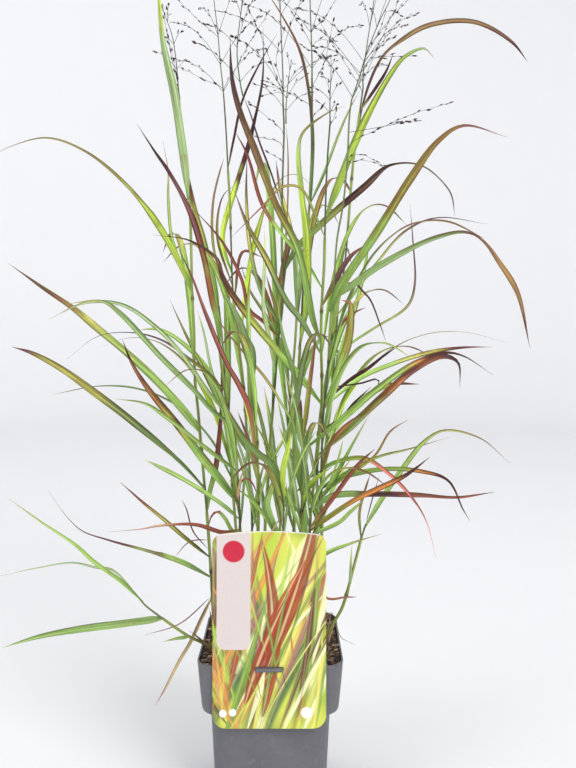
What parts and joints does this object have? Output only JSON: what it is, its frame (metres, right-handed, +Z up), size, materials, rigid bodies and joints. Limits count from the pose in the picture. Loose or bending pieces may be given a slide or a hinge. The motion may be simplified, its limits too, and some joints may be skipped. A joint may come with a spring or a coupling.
{
  "type": "potted switchgrass",
  "caption": "Clump of upright grass stems with arching two-tone blades and open purple seed heads, in a square dark nursery pot with a hang card on its rim.",
  "frame": {"origin": "middle of the pot's flat underside", "axes": "+Z up along the pot, -Y towards the hang card on the pot's front, +X to the right as the card is read"},
  "size_m": [0.4777, 0.4187, 0.769],
  "materials": {
    "pot_plastic": "moulded satin grey",
    "card_print": "printed plastic card",
    "potting_mix": "moist bark and peat crumbs",
    "grass_blade": "satin leaf",
    "seed_head": "dry matt"
  },
  "bodies": {
    "root": {"pot": "pot_plastic", "hang_card": "card_print", "potting_mix": "potting_mix", "stem_01": "grass_blade", "stem_02": "grass_blade", "stem_03": "grass_blade", "stem_04": "grass_blade", "stem_05": "grass_blade", "stem_06": "grass_blade", "stem_07": "grass_blade", "stem_08": "grass_blade", "stem_09": "grass_blade", "stem_10": "grass_blade", "stem_11": "grass_blade", "stem_12": "grass_blade", "stem_13": "grass_blade", "stem_14": "grass_blade", "stem_15": "grass_blade", "stem_16": "grass_blade", "stem_17": "grass_blade", "seed_head_01": "seed_head", "seed_head_02": "seed_head", "seed_head_03": "seed_head", "seed_head_04": "seed_head", "seed_head_05": "seed_head", "seed_head_06": "seed_head", "seed_head_07": "seed_head", "seed_head_08": "seed_head", "seed_head_09": "seed_head"}
  },
  "joints": []
}
